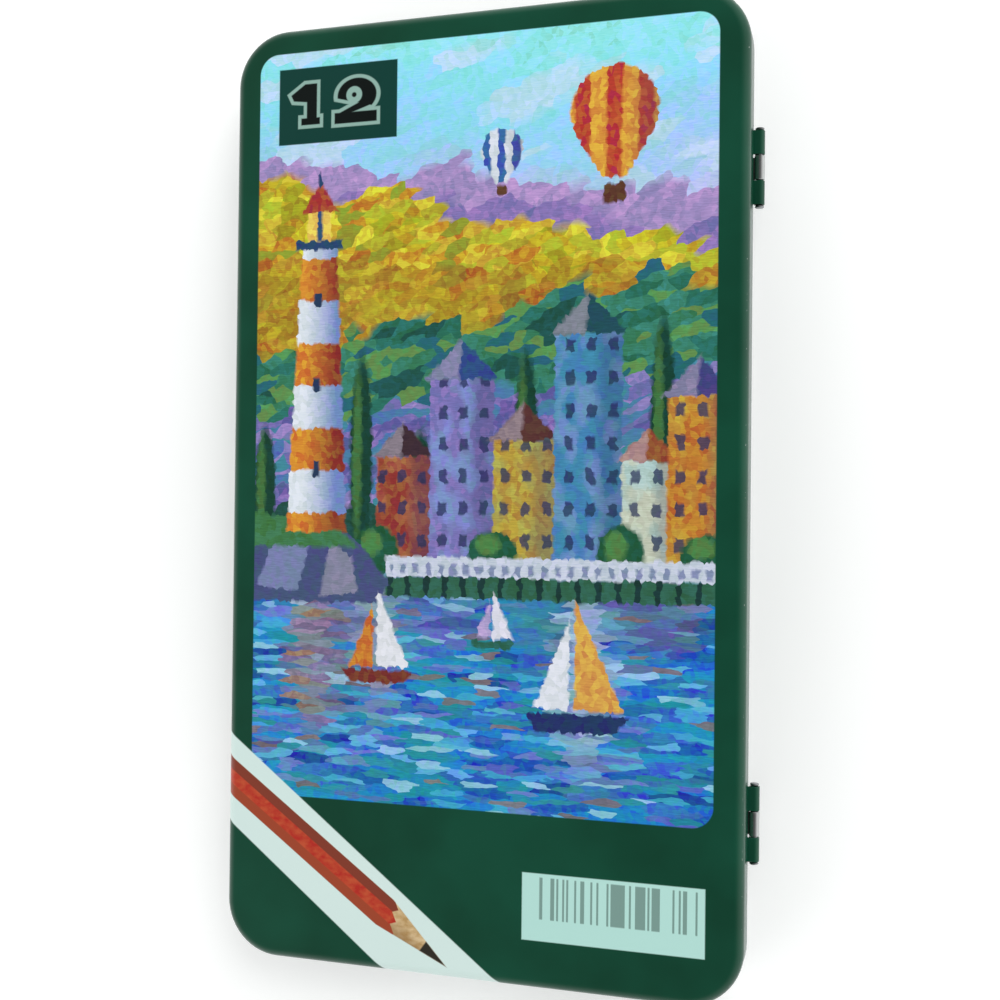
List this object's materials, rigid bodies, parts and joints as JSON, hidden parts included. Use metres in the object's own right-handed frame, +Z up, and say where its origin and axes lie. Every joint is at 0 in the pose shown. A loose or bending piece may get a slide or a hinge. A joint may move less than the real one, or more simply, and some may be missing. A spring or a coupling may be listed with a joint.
{
  "type": "coloured pencil tin",
  "caption": "Flat rectangular tin with rounded corners and a hinged lid, holding a formed plastic tray of hexagonal coloured pencils.",
  "frame": {"origin": "middle of the flat underside of the closed tin's base", "axes": "+X across the width towards the hinges, +Y along the length towards the pencils' points, +Z up out of the lid"},
  "size_m": [0.1063, 0.188, 0.014],
  "materials": {
    "printed_tinplate": "glossy varnish over a printed picture and a dark green border",
    "bare_tinplate": "bright rolled tinplate",
    "tray_plastic": "smooth vacuum-formed sheet",
    "pin_steel": "drawn wire",
    "yellow_lacquered_wood": "glossy lacquer, bare cedar at the sharpened cone",
    "orange_lacquered_wood": "glossy lacquer, bare cedar at the sharpened cone",
    "red_lacquered_wood": "glossy lacquer, bare cedar at the sharpened cone",
    "pink_lacquered_wood": "glossy lacquer, bare cedar at the sharpened cone",
    "violet_lacquered_wood": "glossy lacquer, bare cedar at the sharpened cone",
    "dark_blue_lacquered_wood": "glossy lacquer, bare cedar at the sharpened cone",
    "light_blue_lacquered_wood": "glossy lacquer, bare cedar at the sharpened cone",
    "light_green_lacquered_wood": "glossy lacquer, bare cedar at the sharpened cone",
    "dark_green_lacquered_wood": "glossy lacquer, bare cedar at the sharpened cone",
    "brown_lacquered_wood": "glossy lacquer, bare cedar at the sharpened cone",
    "black_lacquered_wood": "glossy lacquer, bare cedar at the sharpened cone",
    "white_lacquered_wood": "glossy lacquer, bare cedar at the sharpened cone",
    "yellow_lead": "waxy",
    "orange_lead": "waxy",
    "red_lead": "waxy",
    "pink_lead": "waxy",
    "violet_lead": "waxy",
    "dark_blue_lead": "waxy",
    "light_blue_lead": "waxy",
    "light_green_lead": "waxy",
    "dark_green_lead": "waxy",
    "brown_lead": "waxy",
    "black_lead": "waxy",
    "white_lead": "waxy"
  },
  "bodies": {
    "tin_base": {"base": "bare_tinplate", "inner_tray": "tray_plastic", "upper_hinge_pin": "pin_steel", "lower_hinge_pin": "pin_steel"},
    "tin_lid": {"lid": "printed_tinplate"},
    "yellow_pencil": {"yellow_pencil_casing": "yellow_lacquered_wood", "yellow_pencil_lead": "yellow_lead"},
    "orange_pencil": {"orange_pencil_casing": "orange_lacquered_wood", "orange_pencil_lead": "orange_lead"},
    "red_pencil": {"red_pencil_casing": "red_lacquered_wood", "red_pencil_lead": "red_lead"},
    "pink_pencil": {"pink_pencil_casing": "pink_lacquered_wood", "pink_pencil_lead": "pink_lead"},
    "violet_pencil": {"violet_pencil_casing": "violet_lacquered_wood", "violet_pencil_lead": "violet_lead"},
    "dark_blue_pencil": {"dark_blue_pencil_casing": "dark_blue_lacquered_wood", "dark_blue_pencil_lead": "dark_blue_lead"},
    "light_blue_pencil": {"light_blue_pencil_casing": "light_blue_lacquered_wood", "light_blue_pencil_lead": "light_blue_lead"},
    "light_green_pencil": {"light_green_pencil_casing": "light_green_lacquered_wood", "light_green_pencil_lead": "light_green_lead"},
    "dark_green_pencil": {"dark_green_pencil_casing": "dark_green_lacquered_wood", "dark_green_pencil_lead": "dark_green_lead"},
    "brown_pencil": {"brown_pencil_casing": "brown_lacquered_wood", "brown_pencil_lead": "brown_lead"},
    "black_pencil": {"black_pencil_casing": "black_lacquered_wood", "black_pencil_lead": "black_lead"},
    "white_pencil": {"white_pencil_casing": "white_lacquered_wood", "white_pencil_lead": "white_lead"}
  },
  "joints": [
    {"name": "lid_hinge", "type": "hinge", "parent": "tin_base", "child": "tin_lid", "pos_m": [0.05321, 0, 0.007], "axis": [0, 1, 0], "range_deg": [0, 180]},
    {"name": "yellow_pencil_lift", "type": "slide", "parent": "tin_base", "child": "yellow_pencil", "axis": [0, 0, 1], "range_m": [0, 0.003]},
    {"name": "orange_pencil_lift", "type": "slide", "parent": "tin_base", "child": "orange_pencil", "axis": [0, 0, 1], "range_m": [0, 0.003]},
    {"name": "red_pencil_lift", "type": "slide", "parent": "tin_base", "child": "red_pencil", "axis": [0, 0, 1], "range_m": [0, 0.003]},
    {"name": "pink_pencil_lift", "type": "slide", "parent": "tin_base", "child": "pink_pencil", "axis": [0, 0, 1], "range_m": [0, 0.003]},
    {"name": "violet_pencil_lift", "type": "slide", "parent": "tin_base", "child": "violet_pencil", "axis": [0, 0, 1], "range_m": [0, 0.003]},
    {"name": "dark_blue_pencil_lift", "type": "slide", "parent": "tin_base", "child": "dark_blue_pencil", "axis": [0, 0, 1], "range_m": [0, 0.003]},
    {"name": "light_blue_pencil_lift", "type": "slide", "parent": "tin_base", "child": "light_blue_pencil", "axis": [0, 0, 1], "range_m": [0, 0.003]},
    {"name": "light_green_pencil_lift", "type": "slide", "parent": "tin_base", "child": "light_green_pencil", "axis": [0, 0, 1], "range_m": [0, 0.003]},
    {"name": "dark_green_pencil_lift", "type": "slide", "parent": "tin_base", "child": "dark_green_pencil", "axis": [0, 0, 1], "range_m": [0, 0.003]},
    {"name": "brown_pencil_lift", "type": "slide", "parent": "tin_base", "child": "brown_pencil", "axis": [0, 0, 1], "range_m": [0, 0.003]},
    {"name": "black_pencil_lift", "type": "slide", "parent": "tin_base", "child": "black_pencil", "axis": [0, 0, 1], "range_m": [0, 0.003]},
    {"name": "white_pencil_lift", "type": "slide", "parent": "tin_base", "child": "white_pencil", "axis": [0, 0, 1], "range_m": [0, 0.003]}
  ]
}
